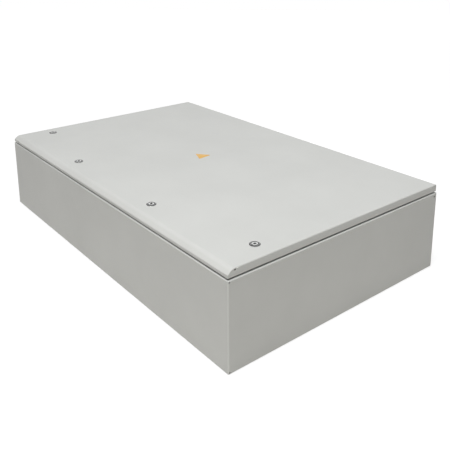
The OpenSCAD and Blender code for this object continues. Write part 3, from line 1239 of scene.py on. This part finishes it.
@dataclass(frozen=True)
class Lamp:
    """A rectangular soft lamp."""

    name: str
    power: float
    width: float
    height: float
    place: Place
    aim: Place
    tint: tuple[float, float, float] = (1.0, 1.0, 1.0)

    def hang(self) -> None:
        """Hangs the lamp and points it at its aim."""
        light = bpy.data.lights.new(self.name, "AREA")
        light.energy = self.power
        light.shape = "RECTANGLE"
        light.size, light.size_y = self.width, self.height
        light.color = self.tint
        beam = Vector(self.aim) - Vector(self.place)
        lamp = bpy.data.objects.new(self.name, light)
        lamp.location = self.place
        lamp.rotation_euler = beam.to_track_quat("-Z", "Y").to_euler()
        bpy.context.scene.collection.objects.link(lamp)


@dataclass
class Studio:
    """White surroundings, an even sky, one broad key light, a lamp overhead and two low ones."""

    floor_size: float = 60.0
    floor_drop: float = 0.3 * MM
    sky: float = 0.04
    key: float = 2.11
    key_spread: float = math.radians(50)
    key_turn: Place = (math.radians(8), 0.0, 0.0)
    lamps: tuple[Lamp, ...] = (
        Lamp(
            "overhead",
            power=9.6,
            width=0.9,
            height=0.9,
            place=(0.75, -0.55, 1.75),
            aim=(0.35, -0.15, 0.25),
        ),
        Lamp(
            "front",
            power=100.0,
            width=2.4,
            height=0.2,
            place=(4.6, -4.4, 0.12),
            aim=(0.6, -0.375, 0.12),
            tint=WARM_WHITE,
        ),
        Lamp(
            "rear",
            power=75.0,
            width=2.4,
            height=0.2,
            place=(-4.6, 4.4, 0.12),
            aim=(-0.6, 0.375, 0.12),
            tint=WARM_WHITE,
        ),
    )

    def build(self, palette: Palette) -> None:
        """Lays the floor, lights the sky and hangs the lamps.

        Args:
            palette: The finishes.
        """
        self.lay_floor(palette)
        self.light_sky()
        self.hang_key()
        for lamp in self.lamps:
            lamp.hang()

    def lay_floor(self, palette: Palette) -> None:
        """Lays the floor just below the enclosure's back.

        Args:
            palette: The finishes.
        """
        Bench.clear()
        bpy.ops.mesh.primitive_plane_add(
            size=self.floor_size, location=(0, 0, -self.floor_drop)
        )
        floor = bpy.context.object
        floor.name = "floor"
        floor.data.materials.append(palette.floor)

    def light_sky(self) -> None:
        """Makes a sky that lights evenly and looks white."""
        world = bpy.data.worlds.new("white_room")
        world.use_nodes = True
        bpy.context.scene.world = world
        sheet = NodeSheet(world.node_tree)
        level = sheet.add("ShaderNodeMapRange", To_Min=self.sky, To_Max=1.0)
        shine = sheet.add("ShaderNodeBackground", Color=(1.0, 1.0, 1.0, 1.0))
        output = sheet.add("ShaderNodeOutputWorld")
        sheet.join(sheet.seen(), level.inputs["Value"])
        sheet.join(level.outputs["Result"], shine.inputs["Strength"])
        sheet.join(shine.outputs["Background"], output.inputs["Surface"])

    def hang_key(self) -> None:
        """Hangs the broad key light, which falls nearly straight down."""
        light = bpy.data.lights.new("key", "SUN")
        light.energy = self.key
        light.angle = self.key_spread
        key = bpy.data.objects.new("key", light)
        key.rotation_euler = self.key_turn
        bpy.context.scene.collection.objects.link(key)


@dataclass
class Viewpoint:
    """The camera at the photograph's place, with a raised lens so that uprights stay upright."""

    place: Place = (1.5183, -1.1097, 0.9183)
    turn: Place = (75.691, 0.311, 51.448)
    lens: float = 50.472
    sensor: float = 36.0
    drop: float = -0.28
    sight: float = 200.0

    def build(self) -> None:
        """Makes the camera and gives it to the scene."""
        camera = bpy.data.cameras.new("view")
        camera.lens = self.lens
        camera.sensor_width = self.sensor
        camera.shift_y = self.drop
        camera.clip_end = self.sight
        seat = bpy.data.objects.new("view", camera)
        seat.location = self.place
        seat.rotation_euler = tuple(math.radians(angle) for angle in self.turn)
        bpy.context.scene.collection.objects.link(seat)
        bpy.context.scene.camera = seat


def build_fasteners(palette: Palette) -> None:
    """Models the studs and nuts of the mounting plate, the earth points and the locks.

    Args:
        palette: The finishes.
    """
    axes = corner_axes("plate_studs", radius=4 * MM)
    stud = ThreadedStud("plate_studs", "plate_stud", Body.CASE, pitch=1.25 * MM)
    nut = HexNut("plate_nuts", "plate_nut", Body.CASE, flats=13 * MM, bore=8.2 * MM)
    stud.build(palette, axes)
    nut.build(palette, axes)
    for body, facing in ((Body.CASE, Facing.UP), (Body.DOOR, Facing.DOWN)):
        point = f"{body.value}_earth"
        stud = ThreadedStud(f"{point}_stud", f"{point}_thread", body, pitch=1 * MM, facing=facing)
        nut = HexNut(f"{point}_nut", f"{point}_hexagon", body, flats=10 * MM, bore=6.2 * MM)
        stud.build(palette, [axis_of(stud.node)])
        nut.build(palette, [axis_of(nut.node)])
    for lock in LOCKS:
        nut = HexNut(f"{lock}_nut", f"{lock}_hexagon", Body.DOOR, flats=26 * MM, bore=22.2 * MM)
        nut.build(palette, [axis_of(nut.node)])


def main() -> None:
    """Dresses the enclosure and sets up its studio."""
    logging.basicConfig(level=logging.INFO, format="%(name)s: %(message)s")
    bpy.context.scene.view_settings.view_transform = "Standard"
    Viewpoint().build()
    palette = Palette()
    Studio().build(palette)
    SheetMetal().dress(palette)
    DoorSticker().build(palette)
    FoamSeal().build(palette)
    build_fasteners(palette)
    for rib in RIBS:
        SpotWelds(rib).build(palette)


if __name__ == "__main__":
    main()
